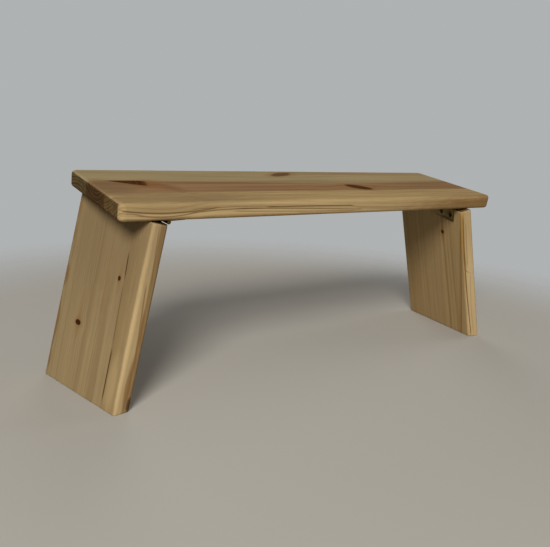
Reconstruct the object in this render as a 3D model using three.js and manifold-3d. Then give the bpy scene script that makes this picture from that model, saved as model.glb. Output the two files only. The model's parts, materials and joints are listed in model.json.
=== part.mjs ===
// Folding meditation bench: a sloping seat board on two hinged leg boards.
// Millimetres. X runs along the seat, Y from its front edge to its back edge, Z up from the floor.
import * as THREE from 'three';
import { mergeVertices } from 'three/addons/utils/BufferGeometryUtils.js';
import Module from 'manifold-3d';

const wasm = await Module();
wasm.setup();

// Boards: seat and legs are sawn from the same edge-glued pine panel
const seatLength = 550;
const boardWidth = 140;
const boardThickness = 18;
const seatHeight = 197; // floor to the underside, under the middle of the seat
const seatEdgeRadius = 4;
const seatCornerRadius = 7;
const legEdgeRadius = 3.5;
const glueGap = 0.3;

// Staves from the front edge to the back edge, and their widths as shares of the board's width
const staveNames = ['front', 'middle', 'back'];
const seatStaveShares = [0.28, 0.355, 0.365];
const leftStaveShares = [0.18, 0.39, 0.43];
const rightStaveShares = [0.35, 0.39, 0.26];

// Legs lean out at the floor by the splay, and stand closer together at the front by the toe
const splayDegrees = 14.6;
const toeDegrees = 8.3;
const pinInsets = { left: 43.5, right: 50.5 }; // seat's ends to the hinge lines, at its middle
const restGap = 0.3; // leg's top edge to the underside that stops it

// Butt hinges, two to a leg
const leafLength = 50;
const leafReach = 21; // pin axis to the leaf's outer edge
const leafThickness = 1.1;
const leafCornerRadius = 2;
const barrelRadius = 2.2;
const knuckleCount = 5;
const knuckleGap = 0.3;
const notchClearance = 0.4;
const pinClearance = 0.2;
const pinDome = 0.4;
const bedGap = 0.2; // leaf's back to the wood

// Hinge ends, measured along the hinge line from the leg board's edges
const hingeMargins = {
  left: { front: 4, back: 14 },
  right: { front: 14, back: 4 },
};

// Countersunk cross-head screws
const screwCount = 3;
const screwEndMargin = 6.5; // leaf's end to its first screw
const screwRow = 12.3; // pin axis to the row of screws
const screwHeadRadius = 3.3;
const screwRimHeight = 0.25;
const screwShankRadius = 1.5;
const screwSink = 0.1; // head's face below the leaf's face
const screwTipLength = 4;
const screwTipCover = 3; // wood left beyond the screw's tip
const screwClearance = 0.2;
const recessLength = 3.6;
const recessWidth = 0.8;
const recessDepth = 1.2;

const cutOverrun = 2;
const stepsPerDivision = 2; // an arc gets two steps for each division asked of a shape
const roundSteps = 6; // steps of each quarter round
const barrelSides = 20;
const screwSides = 12;

const splay = THREE.MathUtils.degToRad(splayDegrees);
const toe = THREE.MathUtils.degToRad(toeDegrees);

// The tilt at which a leg board with a square foot end meets the floor along its whole width
const seatTilt = Math.atan2(
  Math.sin(toe) * Math.cos(splay),
  Math.cos(toe) ** 2 - Math.sin(toe) ** 2 * Math.sin(splay),
);

// The pin axis stands off the underside and the leg's inner face alike
const standoff = barrelRadius + bedGap;
const pinHeight = seatHeight - standoff * Math.cos(seatTilt);
const hingeLineHalf = boardWidth / 2 / Math.cos(toe);

// Pin axis to the leg's top end, which stops against the underside when the leg is open
const legTop = (
  (standoff + boardThickness) * Math.sin(splay) - standoff + restGap
) / Math.cos(splay);

const pine = new THREE.MeshStandardMaterial({ color: 0xd8b27a, roughness: 0.55, metalness: 0 });
const heartPine = new THREE.MeshStandardMaterial({ color: 0xb98a5c, roughness: 0.55, metalness: 0 });
const platedSteel = new THREE.MeshStandardMaterial({ color: 0x8f8350, roughness: 0.35, metalness: 0.9 });
const blackSteel = new THREE.MeshStandardMaterial({ color: 0x26221f, roughness: 0.45, metalness: 0.8 });

function toSolid(geometry) {
  const bare = geometry.clone();
  bare.deleteAttribute('normal');
  bare.deleteAttribute('uv');
  const merged = mergeVertices(bare);
  return new wasm.Manifold(new wasm.Mesh({
    numProp: 3,
    vertProperties: new Float32Array(merged.attributes.position.array),
    triVerts: new Uint32Array(merged.index.array),
  }));
}

function toGeometry(solid) {
  const mesh = solid.getMesh();
  const geometry = new THREE.BufferGeometry();
  geometry.setAttribute('position', new THREE.BufferAttribute(mesh.vertProperties, 3));
  geometry.setIndex(new THREE.BufferAttribute(mesh.triVerts, 1));
  return geometry;
}

// Front-to-back limits of each stave about the board's middle, with half a glue gap off each joint
function staveLimits(shares) {
  const limits = {};
  let edge = -boardWidth / 2;
  for (const [i, name] of staveNames.entries()) {
    const next = edge + shares[i] * boardWidth;
    limits[name] = {
      front: name === 'front' ? edge : edge + glueGap / 2,
      back: name === 'back' ? next : next - glueGap / 2,
    };
    edge = next;
  }
  return limits;
}

// Seat board, with its underside at zero height
function seatBoard() {
  const halfLength = seatLength / 2;
  const halfWidth = boardWidth / 2;
  const r = seatCornerRadius;
  const outline = new THREE.Shape();
  outline.absarc(halfLength - r, halfWidth - r, r, 0, Math.PI / 2);
  outline.absarc(-halfLength + r, halfWidth - r, r, Math.PI / 2, Math.PI);
  outline.absarc(-halfLength + r, -halfWidth + r, r, Math.PI, Math.PI * 3 / 2);
  outline.absarc(halfLength - r, -halfWidth + r, r, Math.PI * 3 / 2, Math.PI * 2);
  const geometry = new THREE.ExtrudeGeometry(outline, {
    depth: boardThickness - 2 * seatEdgeRadius,
    curveSegments: roundSteps / stepsPerDivision,
    bevelThickness: seatEdgeRadius,
    bevelSize: seatEdgeRadius,
    bevelOffset: -seatEdgeRadius,
    bevelSegments: roundSteps,
  });
  geometry.translate(0, 0, seatEdgeRadius);
  return toSolid(geometry);
}

// One stave of a leg board: its cross-section, run from the floor up to the square-cut top end
function legStave(limits, side, up) {
  const near = standoff;
  const far = standoff + boardThickness;
  const r = legEdgeRadius;
  const low = side > 0 ? limits.front : -limits.back;
  const high = side > 0 ? limits.back : -limits.front;
  const outline = new THREE.Shape();
  if (low === -boardWidth / 2) {
    outline.absarc(near + r, low + r, r, Math.PI, Math.PI * 3 / 2);
    outline.absarc(far - r, low + r, r, Math.PI * 3 / 2, Math.PI * 2);
  } else {
    outline.moveTo(near, low);
    outline.lineTo(far, low);
  }
  if (high === boardWidth / 2) {
    outline.absarc(far - r, high - r, r, 0, Math.PI / 2);
    outline.absarc(near + r, high - r, r, Math.PI / 2, Math.PI);
  } else {
    outline.lineTo(far, high);
    outline.lineTo(near, high);
  }
  const geometry = new THREE.ExtrudeGeometry(outline, {
    depth: 1,
    curveSegments: roundSteps / stepsPerDivision,
    bevelEnabled: false,
  });
  const lean = -side * toe;
  const position = geometry.attributes.position;
  for (let i = 0; i < position.count; i += 1) {
    const x = position.getX(i);
    const y = position.getY(i);
    const topEnd = (-legTop - y * Math.sin(lean)) / Math.cos(lean);
    const footEnd = -(pinHeight + up.x * x + up.y * y) / up.z;
    position.setZ(i, position.getZ(i) > 0 ? topEnd : footEnd);
  }
  return toSolid(geometry);
}

// Leaves and screws share one frame: X from the pin to the leaf's edge, Y along the pin,
// Z towards the wood. The leaf's back is level with the barrel's outside.
const leafFace = barrelRadius - leafThickness;
const knucklePitch = leafLength / knuckleCount;

function screwProfile(clearance) {
  const headRadius = screwHeadRadius + clearance;
  const shankRadius = screwShankRadius + clearance;
  const face = leafFace + screwSink;
  const rim = face + screwRimHeight;
  const neck = rim + headRadius - shankRadius;
  const tip = standoff + boardThickness - screwTipCover + clearance;
  return { headRadius, shankRadius, face, rim, neck, tip };
}

function revolve(points, sides) {
  const geometry = new THREE.LatheGeometry(points.map(([r, z]) => new THREE.Vector2(r, z)), sides);
  geometry.rotateX(Math.PI / 2);
  return toSolid(geometry);
}

function screwSolid() {
  const p = screwProfile(0);
  const screw = revolve([
    [0, p.face],
    [p.headRadius, p.face],
    [p.headRadius, p.rim],
    [p.shankRadius, p.neck],
    [p.shankRadius, p.tip - screwTipLength],
    [0, p.tip],
  ], screwSides);
  let recess = null;
  for (const turn of [0, Math.PI / 2]) {
    const bar = new THREE.BoxGeometry(recessLength, recessWidth, 2 * recessDepth);
    bar.rotateZ(turn);
    bar.translate(0, 0, p.face);
    recess = recess ? recess.add(toSolid(bar)) : toSolid(bar);
  }
  return screw.subtract(recess);
}

// The room that a screw takes up in the leaf and in the wood behind it
function screwHole() {
  const p = screwProfile(screwClearance);
  return revolve([
    [0, p.face - cutOverrun],
    [p.headRadius, p.face - cutOverrun],
    [p.headRadius, p.rim],
    [p.shankRadius, p.neck],
    [p.shankRadius, p.tip - screwTipLength],
    [0, p.tip],
  ], screwSides);
}

function screwPlaces() {
  const spread = leafLength - 2 * screwEndMargin;
  const places = [];
  for (let i = 0; i < screwCount; i += 1) {
    places.push(new THREE.Matrix4().makeTranslation(
      screwRow,
      -spread / 2 + spread * i / (screwCount - 1),
      0,
    ));
  }
  return places;
}

// A leaf owns every other knuckle and is notched clear of the other leaf's
function leafSolid(ownsEnds) {
  const half = leafLength / 2;
  const r = leafCornerRadius;
  const outline = new THREE.Shape();
  outline.moveTo(0, half);
  outline.lineTo(0, -half);
  outline.absarc(leafReach - r, -half + r, r, -Math.PI / 2, 0);
  outline.absarc(leafReach - r, half - r, r, 0, Math.PI / 2);
  const plate = new THREE.ExtrudeGeometry(outline, {
    depth: leafThickness,
    curveSegments: roundSteps / stepsPerDivision,
    bevelEnabled: false,
  });
  plate.translate(0, 0, leafFace);
  let leaf = toSolid(plate);

  for (let i = 0; i < knuckleCount; i += 1) {
    const owned = (i % 2 === 0) === ownsEnds;
    const middle = -half + knucklePitch * (i + 1 / 2);
    if (owned) {
      const inner = i === 0 ? 0 : knuckleGap / 2;
      const outer = i === knuckleCount - 1 ? 0 : knuckleGap / 2;
      const ring = new THREE.Shape();
      ring.absarc(0, 0, barrelRadius, 0, Math.PI * 2);
      ring.holes.push(new THREE.Path().absarc(0, 0, leafFace, 0, Math.PI * 2, true));
      const knuckle = new THREE.ExtrudeGeometry(ring, {
        depth: knucklePitch - inner - outer,
        curveSegments: barrelSides / stepsPerDivision,
        bevelEnabled: false,
      });
      knuckle.rotateX(Math.PI / 2);
      knuckle.translate(0, middle + knucklePitch / 2 - outer, 0);
      leaf = leaf.add(toSolid(knuckle));
    } else {
      const reach = barrelRadius + notchClearance;
      const notch = new THREE.BoxGeometry(2 * reach, knucklePitch + knuckleGap, 2 * barrelRadius);
      notch.translate(0, middle, leafFace);
      leaf = leaf.subtract(toSolid(notch));
    }
  }
  for (const place of screwPlaces()) {
    leaf = leaf.subtract(screwHole().transform(place.elements));
  }
  return leaf;
}

function pinSolid() {
  const radius = leafFace - pinClearance;
  const half = leafLength / 2;
  const geometry = new THREE.LatheGeometry([
    new THREE.Vector2(0, -half),
    new THREE.Vector2(radius - pinDome, -half),
    new THREE.Vector2(radius, -half + pinDome),
    new THREE.Vector2(radius, half - pinDome),
    new THREE.Vector2(radius - pinDome, half),
    new THREE.Vector2(0, half),
  ], barrelSides);
  return toSolid(geometry);
}

function named(name, solid, material) {
  const mesh = new THREE.Mesh(toGeometry(solid), material);
  mesh.name = name;
  return mesh;
}

const bench = new THREE.Group();
const seatFrame = new THREE.Group();
seatFrame.position.z = seatHeight;
seatFrame.rotation.x = seatTilt;
bench.add(seatFrame);

// Hinge line, leg and leaf frames of one side. X points outwards, Y along the hinge line.
function sideFrames(sideName) {
  const side = sideName === 'right' ? 1 : -1;
  const hingeLine = new THREE.Group();
  const pinX = side * (seatLength / 2 - pinInsets[sideName]);
  hingeLine.position.set(pinX, 0, -standoff);
  hingeLine.rotation.z = side > 0 ? -toe : Math.PI + toe;
  seatFrame.add(hingeLine);

  const leg = new THREE.Group();
  leg.rotation.y = -splay;
  hingeLine.add(leg);

  const legBoard = new THREE.Group();
  legBoard.rotation.x = -side * toe;
  leg.add(legBoard);

  const leaves = {};
  for (const [place, sign] of [['front', -1], ['back', 1]]) {
    const margin = hingeMargins[sideName][place];
    const along = side * sign * (hingeLineHalf - margin - leafLength / 2);
    const seatLeaf = new THREE.Group();
    seatLeaf.position.y = along;
    seatLeaf.rotation.z = Math.PI;
    hingeLine.add(seatLeaf);
    const legLeaf = new THREE.Group();
    legLeaf.position.y = along;
    legLeaf.rotation.y = Math.PI / 2;
    leg.add(legLeaf);
    leaves[place] = { seat: seatLeaf, leg: legLeaf };
  }
  return { side, legBoard, leaves };
}

const sides = { left: sideFrames('left'), right: sideFrames('right') };
bench.updateMatrixWorld(true);

// Removes the screws' room, given in the leaf frames, from a solid in the board's frame
function drill(solid, boardFrame, leafFrames) {
  const toBoard = boardFrame.matrixWorld.clone().invert();
  let drilled = solid;
  for (const leafFrame of leafFrames) {
    const leafToBoard = toBoard.clone().multiply(leafFrame.matrixWorld);
    for (const place of screwPlaces()) {
      const hole = screwHole().transform(leafToBoard.clone().multiply(place).elements);
      drilled = drilled.subtract(hole);
    }
  }
  return drilled;
}

function addSeat() {
  const seatLeafFrames = Object.values(sides).flatMap(
    ({ leaves }) => [leaves.front.seat, leaves.back.seat],
  );
  const drilled = drill(seatBoard(), seatFrame, seatLeafFrames);
  for (const [name, limits] of Object.entries(staveLimits(seatStaveShares))) {
    const front = name === 'front' ? limits.front - cutOverrun : limits.front;
    const back = name === 'back' ? limits.back + cutOverrun : limits.back;
    const slab = new THREE.BoxGeometry(
      seatLength + 2 * cutOverrun,
      back - front,
      boardThickness + 2 * cutOverrun,
    );
    slab.translate(0, (front + back) / 2, boardThickness / 2);
    const stave = drilled.intersect(toSolid(slab));
    seatFrame.add(named(`seat_${name}_stave`, stave, name === 'middle' ? heartPine : pine));
  }
}

function addLeg(sideName, shares) {
  const { side, legBoard, leaves } = sides[sideName];
  const turned = legBoard.getWorldQuaternion(new THREE.Quaternion()).invert();
  const up = new THREE.Vector3(0, 0, 1).applyQuaternion(turned);
  for (const [name, limits] of Object.entries(staveLimits(shares))) {
    const stave = drill(legStave(limits, side, up), legBoard, [leaves.front.leg, leaves.back.leg]);
    legBoard.add(named(`${sideName}_leg_${name}_stave`, stave, pine));
  }
}

function addHinge(sideName, place) {
  const frames = sides[sideName].leaves[place];
  const hinge = `${sideName}_${place}_hinge`;
  frames.seat.add(named(`${hinge}_seat_leaf`, leafSolid(true), platedSteel));
  frames.seat.add(named(`${hinge}_pin`, pinSolid(), platedSteel));
  frames.leg.add(named(`${hinge}_leg_leaf`, leafSolid(false), platedSteel));
  for (const [board, frame] of Object.entries(frames)) {
    screwPlaces().forEach((spot, i) => {
      const screw = named(`${hinge}_${board}_screw_${i + 1}`, screwSolid(), blackSteel);
      screw.position.setFromMatrixPosition(spot);
      frame.add(screw);
    });
  }
}

addSeat();
addLeg('left', leftStaveShares);
addLeg('right', rightStaveShares);
for (const sideName of ['left', 'right']) {
  for (const place of ['front', 'back']) {
    addHinge(sideName, place);
  }
}

// The origin is on the floor, under the middle of the bench's outer box
const box = new THREE.Box3().setFromObject(bench, true);
bench.position.x = -(box.min.x + box.max.x) / 2;
bench.position.y = -(box.min.y + box.max.y) / 2;

export default bench;
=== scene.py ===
import json
from functools import partialmethod
from math import asin, cos, pi, radians, sin, tan

import bmesh
import bpy
from mathutils import Matrix, Vector, noise


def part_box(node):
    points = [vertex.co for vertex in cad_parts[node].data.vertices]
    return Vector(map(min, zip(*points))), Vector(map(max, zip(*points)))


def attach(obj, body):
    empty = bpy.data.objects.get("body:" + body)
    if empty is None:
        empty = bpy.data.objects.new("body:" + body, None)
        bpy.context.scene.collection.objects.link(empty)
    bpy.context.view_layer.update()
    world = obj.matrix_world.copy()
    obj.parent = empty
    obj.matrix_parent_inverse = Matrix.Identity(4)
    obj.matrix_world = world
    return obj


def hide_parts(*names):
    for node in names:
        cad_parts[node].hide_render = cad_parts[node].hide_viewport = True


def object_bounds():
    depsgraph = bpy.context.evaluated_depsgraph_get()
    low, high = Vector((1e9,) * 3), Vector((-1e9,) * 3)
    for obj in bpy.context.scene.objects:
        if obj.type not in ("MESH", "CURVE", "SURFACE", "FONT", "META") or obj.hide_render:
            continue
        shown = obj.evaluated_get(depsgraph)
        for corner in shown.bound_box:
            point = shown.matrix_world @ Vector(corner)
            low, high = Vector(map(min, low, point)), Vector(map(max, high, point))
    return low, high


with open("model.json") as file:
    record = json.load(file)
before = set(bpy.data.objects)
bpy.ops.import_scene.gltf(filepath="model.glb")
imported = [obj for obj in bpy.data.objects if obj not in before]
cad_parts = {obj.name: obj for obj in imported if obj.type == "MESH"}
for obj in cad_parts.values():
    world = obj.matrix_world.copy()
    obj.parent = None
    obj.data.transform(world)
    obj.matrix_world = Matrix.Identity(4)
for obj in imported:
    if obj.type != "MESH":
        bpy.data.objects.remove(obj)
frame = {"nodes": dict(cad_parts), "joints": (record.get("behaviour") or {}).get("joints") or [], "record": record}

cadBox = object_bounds()
mm = 0.001
print("frame loaded:", len(frame["nodes"]), "nodes")

# Places of the boards, all read from the joints and the seat's slope

bench = {
    "boardWidth": 140,
    "boardThickness": 18,
    "standoff": 2.4,  # pin axis to the wood
    "restGap": 0.3,  # leg's top edge to the seat that stops it
    "glueJoints": {  # joints between staves, as shares of the board's width from its front edge
        "seat": (0.28, 0.635),
        "left": (0.18, 0.57),
        "right": (0.35, 0.74),
    },
}
staveNames = ("front", "middle", "back")
joints = {j["name"]: j for j in frame["joints"]}
mounts = {m["name"]: m for m in frame["record"]["mounts"]}
seatUp = Vector(mounts["seat_top"]["axis"]).normalized()
seatRight = Vector((1, 0, 0))
standoff = bench["standoff"] * mm
boardWidth = bench["boardWidth"] * mm
boardThickness = bench["boardThickness"] * mm


def placeOf(x, y, z, origin):
    place = Matrix((x, y, z)).transposed().to_4x4()
    place.translation = origin
    return place


def seatPlace():  # X right, Y to the back, Z up from the underside
    pins = [Vector(j["pos_m"]) for j in joints.values()]
    origin = sum(pins, Vector()) / len(pins) + seatUp * standoff
    low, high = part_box("seat_front_stave")
    origin.x = (low.x + high.x) / 2
    return placeOf(seatRight, seatUp.cross(seatRight), seatUp, origin)


def legAngles(side):
    joint = joints[f"{side}_leg_fold"]
    splay = radians(joint["range_deg"][1] - 90)
    toe = asin(Vector(joint["axis"]).x)
    return splay, toe


def hingePlace(side):  # X outwards, Y along the pins, Z up
    joint = joints[f"{side}_leg_fold"]
    along = Vector(joint["axis"]).normalized()
    return placeOf(along.cross(seatUp), along, seatUp, Vector(joint["pos_m"]))


def legPlace(side):  # X down the leg, Y to the back, Z from the face that shows in front view
    sign = 1 if side == "right" else -1
    splay, toe = legAngles(side)
    leg = hingePlace(side) @ Matrix.Rotation(-splay, 4, "Y") @ Matrix.Rotation(-sign * toe, 4, "X")
    reach = standoff + boardThickness
    top = (reach * sin(splay) - standoff + bench["restGap"] * mm) / cos(splay)
    face = standoff if sign > 0 else reach
    out, along, up = (leg.to_3x3().col[i] for i in range(3))
    return placeOf(-up, sign * along, sign * out, leg @ Vector((face, 0, -top / cos(toe))))


# Boards, made as one rounded body each and sawn into their staves

edges = {
    "seatEdge": 4,
    "seatCorner": 7,
    "legEdge": 3.5,
    "legEase": 1.5,  # sanded ends of the legs
    "hold": 0.4,  # extra rows beside each rounding keep the flats flat
    "arcSteps": 7,
    "rowLength": 12,
    "wander": 0.22,  # how far the hand-sanded roundings wander
    "wanderLength": 45,
    "sharpAngle": 38,
}


def outlineOf(halfX, halfY, radius):
    points = []
    hold = edges["hold"] * mm
    for quarter in range(4):
        signX = 1 if quarter in (0, 3) else -1
        signY = 1 if quarter < 2 else -1
        centre = Vector((signX * (halfX - radius), signY * (halfY - radius)))
        for step in range(edges["arcSteps"] + 1):
            angle = pi / 2 * (quarter + step / edges["arcSteps"])
            normal = Vector((cos(angle), sin(angle)))
            points.append((centre + normal * radius, normal))
        side = 2 * ((halfX if quarter in (0, 2) else halfY) - radius - hold)
        rows = max(1, round(side / (edges["rowLength"] * mm)))
        start = points[-1][0]
        ahead = Vector((-normal.y, normal.x))
        for row in range(rows + 1):
            points.append((start + ahead * (hold + side * row / rows), normal))
    return points


def quarterRows(radius):  # (inset, depth) from the flat end over the rounding
    hold = edges["hold"] * mm
    rows = [(radius + hold, 0.0)]
    for step in range(edges["arcSteps"] + 1):
        angle = pi / 2 * step / edges["arcSteps"]
        rows.append((radius * (1 - sin(angle)), radius * (1 - cos(angle))))
    rows.append((0.0, radius + hold))
    return rows


def wandered(inset, radius, point):
    if inset >= radius or inset <= 0:
        return inset
    share = sin(pi * inset / radius)
    drift = noise.noise(point / (edges["wanderLength"] * mm))
    return inset + edges["wander"] * mm * share * (0.5 + 0.5 * drift)


def loftRings(rings):
    body = bmesh.new()
    loops = [[body.verts.new(p) for p in ring] for ring in rings]
    for low, high in zip(loops, loops[1:]):
        for i in range(len(low)):
            j = (i + 1) % len(low)
            body.faces.new((low[i], low[j], high[j], high[i]))
    body.faces.new(reversed(loops[0]))
    body.faces.new(loops[-1])
    bmesh.ops.recalc_face_normals(body, faces=body.faces)
    return body


def seatBoard():
    low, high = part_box("seat_front_stave")
    radius = edges["seatEdge"] * mm
    outline = outlineOf((high.x - low.x) / 2, boardWidth / 2, edges["seatCorner"] * mm)
    below = quarterRows(radius)
    rings = []
    for inset, height in below + [(i, boardThickness - h) for i, h in reversed(below)]:
        ring = []
        for point, normal in outline:
            longInset = wandered(inset, radius, Vector((point.x, point.y, height)))
            ring.append(Vector((point.x - normal.x * inset, point.y - normal.y * longInset, height)))
        rings.append(ring)
    return loftRings(rings)


def legBoard(side, place):
    _, toe = legAngles(side)
    outline = outlineOf(boardWidth / 2, boardThickness / 2, edges["legEdge"] * mm)

    def ends(y, z):
        top = -y * tan(toe)
        foot = -(place.translation.z + place[2][1] * y + place[2][2] * z) / place[2][0]
        return top, foot

    quarter = quarterRows(edges["legEase"] * mm)
    top, foot = ends(0, 0)
    rows = round((foot - top) / (edges["rowLength"] * mm))
    reach = quarter[-1][1]
    places = [(inset, 0, depth - reach) for inset, depth in quarter[:-1]]
    places += [(0, row / rows, 0) for row in range(rows + 1)]
    places += [(inset, 1, reach - depth) for inset, depth in reversed(quarter[:-1])]
    rings = []
    for inset, share, offset in places:
        ring = []
        for point, normal in outline:
            moved = point - normal * inset
            y, z = moved.x, moved.y + boardThickness / 2
            top, foot = ends(y, z)
            ring.append(Vector((top + reach + (foot - top - 2 * reach) * share + offset, y, z)))
        rings.append(ring)
    return loftRings(rings)


def sawStave(board, low, high):
    stave = board.copy()
    for limit, facing in ((low, -1), (high, 1)):
        if limit is None:
            continue
        cut = bmesh.ops.bisect_plane(
            stave, geom=[*stave.verts, *stave.edges, *stave.faces],
            plane_co=(0, limit, 0), plane_no=(0, facing, 0), clear_outer=True,
        )
        rim = [e for e in cut["geom_cut"] if isinstance(e, bmesh.types.BMEdge)]
        bmesh.ops.edgeloop_fill(stave, edges=rim)
    bmesh.ops.recalc_face_normals(stave, faces=stave.faces)
    return stave


def meshOf(name, body):
    mesh = bpy.data.meshes.new(name)
    body.to_mesh(mesh)
    body.free()
    return mesh


def smoothed(mesh, sharpAngle):
    mesh.shade_smooth()
    mesh.set_sharp_from_angle(angle=radians(sharpAngle))
    return mesh


def newObject(name, data):
    made = bpy.data.objects.new(name, data)
    bpy.context.scene.collection.objects.link(made)
    return made


def addPart(name, mesh, place, body, node):
    part = newObject(name, mesh)
    part.matrix_world = place
    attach(part, body)
    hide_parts(node)


# Shader nodes, and wires that add and multiply as numbers do

def feed(tree, socket, value):
    if isinstance(value, Wire):
        tree.links.new(value.socket, socket)
    elif socket.type == "RGBA":
        socket.default_value = (*value, 1)
    else:
        socket.default_value = value


def addNode(tree, kind, values=(), **settings):
    node = tree.nodes.new(f"ShaderNode{kind}")
    for name, setting in settings.items():
        setattr(node, name, setting)
    for key, value in values.items() if isinstance(values, dict) else enumerate(values):
        feed(tree, node.inputs[key], value)
    return node


def wireFrom(tree, kind, values=(), output=0, **settings):
    return Wire(tree, addNode(tree, kind, values, **settings).outputs[output])


def wiresOf(tree, kind, values=(), **settings):
    node = addNode(tree, kind, values, **settings)
    return {socket.name: Wire(tree, socket) for socket in node.outputs}


class Wire:
    def __init__(self, tree, socket):
        self.tree, self.socket = tree, socket

    def calc(self, operation, *others):
        values = (self, *others)
        kinds = [v.socket.type if isinstance(v, Wire) else type(v) for v in values]
        isVector = "VECTOR" in kinds or tuple in kinds
        toNumber = not isVector or operation in ("LENGTH", "DOT_PRODUCT")
        kind = "VectorMath" if isVector else "Math"
        return wireFrom(self.tree, kind, values, "Value" if toNumber else "Vector", operation=operation)

    __add__ = partialmethod(calc, "ADD")
    __sub__ = partialmethod(calc, "SUBTRACT")
    __mul__ = partialmethod(calc, "MULTIPLY")
    __truediv__ = partialmethod(calc, "DIVIDE")
    __pow__ = partialmethod(calc, "POWER")
    __abs__ = partialmethod(calc, "ABSOLUTE")

    def parts(self):
        return [Wire(self.tree, s) for s in addNode(self.tree, "SeparateXYZ", [self]).outputs]

    def ramp(self, low, high, toLow=0.0, toHigh=1.0):
        values = (self, low, high, toLow, toHigh)
        return wireFrom(self.tree, "MapRange", values, interpolation_type="SMOOTHSTEP")

    def noiseAt(self, scale, detail=2.0, roughness=0.5):
        values = {"Vector": self * scale, "Scale": 1.0, "Detail": detail, "Roughness": roughness}
        return wireFrom(self.tree, "TexNoise", values)

    def swing(self, reach):  # from 0 to 1 into plus or minus half the reach
        return (self - 0.5) * reach

    def turned(self, angle):
        return wireFrom(self.tree, "VectorRotate", {"Vector": self, "Angle": angle}, rotation_type="Z_AXIS")


def combine(tree, *values):
    return wireFrom(tree, "CombineXYZ", values)


def mixColour(tree, share, first, second, blend="MIX"):
    values = {"Factor": share, 6: first, 7: second}
    return wireFrom(tree, "Mix", values, 2, data_type="RGBA", blend_type=blend)


def makeGroup(name, inputs, outputs, build):  # build takes the inputs as wires, in their order
    group = bpy.data.node_groups.new(name, "ShaderNodeTree")
    for label, usual in inputs.items():
        kind = "NodeSocketVector" if isinstance(usual, tuple) else "NodeSocketFloat"
        socket = group.interface.new_socket(label, in_out="INPUT", socket_type=kind)
        socket.default_value = usual
    for label in outputs:
        group.interface.new_socket(label, in_out="OUTPUT", socket_type="NodeSocketFloat")
    start, end = (group.nodes.new(kind) for kind in ("NodeGroupInput", "NodeGroupOutput"))
    made = build(*(Wire(group, socket) for _, socket in zip(inputs, start.outputs)))
    for socket, wire in zip(end.inputs, made):
        feed(group, socket, wire)
    return group


def useGroup(tree, group, values):
    return wiresOf(tree, "Group", values, node_tree=group)


def newMaterial(name):
    material = bpy.data.materials.new(name)
    material.use_nodes = True
    tree = material.node_tree
    tree.nodes.clear()
    shader = addNode(tree, "BsdfPrincipled")
    output = addNode(tree, "OutputMaterial", {"Surface": Wire(tree, shader.outputs[0])})
    return material, tree, shader, output


def addRelief(tree, surface, height, strength, distance):
    values = {"Strength": strength, "Distance": distance * mm, "Height": height}
    feed(tree, surface["Normal"], wireFrom(tree, "Bump", values))


# Growth rings of a stave: cylinders round a pith line along X, with wander and fibres

grain = {  # a noise is its scale along and across the grain, its detail and its roughness
    "waves": [((3.5, 9, 9), 4), ((11, 45, 45), 0.9), ((38, 260, 260), 0.16)],  # scale and reach
    "paceScale": 0.37,  # the years run wide and narrow
    "paceReach": 2.2,
    "lateRise": (0.38, 0.93),  # shares of a year
    "lateFall": (0.94, 1),
    "faintest": 0.45,  # the palest year's share of the darkest
    "fine": ((42, 2300, 2300), 2, 0.6),
    "coarse": ((14, 620, 620), 2, 0.55),
    "streak": ((4, 130, 130), 3, 0.55),
    "lateHeight": 0.55,
    "fibreHeight": 0.6,
}


def growthRings(position, pith, seed, ringWidth, wander, grainTurn):
    spot = position.turned(grainTurn)
    seeded = spot + seed
    radius = ((spot - pith) * (0, 1, 1)).calc("LENGTH")
    slow, middle, quick = (seeded.noiseAt(scale, 1).swing(reach) for scale, reach in grain["waves"])
    years = (radius + (slow + middle + quick) * wander) / ringWidth
    shifted = years + seed.calc("DOT_PRODUCT", (1 / 3, 1 / 3, 1 / 3))
    values = {"W": shifted, "Scale": grain["paceScale"], "Detail": 1}
    pace = wireFrom(spot.tree, "TexNoise", values, noise_dimensions="1D")
    years = years + pace.swing(grain["paceReach"])
    part, year = years.calc("FRACT"), years.calc("FLOOR")
    lot = wireFrom(spot.tree, "TexWhiteNoise", {"W": year}, "Value", noise_dimensions="1D")
    late = part.ramp(*grain["lateRise"]) * part.ramp(*grain["lateFall"], 1, 0)
    late = late * lot.ramp(0, 1, grain["faintest"], 1)
    fibre = seeded.noiseAt(*grain["fine"]) * 0.5 + seeded.noiseAt(*grain["coarse"]) * 0.5
    height = late * grain["lateHeight"] + fibre * grain["fibreHeight"]
    return late, fibre, seeded.noiseAt(*grain["streak"]), height


# A knot: a branch's cross-section, with the grain pushed round it and a streak along the grain

knotForm = {  # reaches in sizes of the knot
    "rough": ((420, 420, 120), 3),
    "roughReach": 0.35,
    "narrowest": 0.12,  # at a tapered knot's thin end
    "core": (0.82, 1.08),
    "halo": (0.9, 2.1),
    "streak": (5.5, 0.9),  # along and across the grain
    "push": (2.1, 3),
    "rings": 3.4,
}


def knotMarks(position, centre, turn, length, width, taper, square, lean, push):
    away = position - centre
    away = away + lean * away.parts()[2]
    x, y, _ = away.turned(turn * -1).parts()
    alongShare = x / length
    narrowing = (taper * alongShare + 1).calc("MAXIMUM", knotForm["narrowest"])
    acrossShare = y / (width * narrowing)
    rough = position.noiseAt(*knotForm["rough"]).swing(knotForm["roughReach"])
    distance = (abs(alongShare) ** square + abs(acrossShare) ** square) ** (square ** -1) + rough
    x, y, _ = away.parts()

    def near(reach):
        along, across = x / (length * reach[0]), y / (width * reach[1])
        return ((along * along + across * across) * -1).calc("EXPONENT")

    side = (y / (width * knotForm["streak"][1])).ramp(-0.9, 0.9, -1, 1)
    shift = side * near(knotForm["push"]) * width * push * -1
    core = distance.ramp(*knotForm["core"], 1, 0)
    halo = distance.ramp(*knotForm["halo"], 1, 0)
    return core, halo, near(knotForm["streak"]), shift, (distance * knotForm["rings"]).calc("FRACT")


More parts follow.
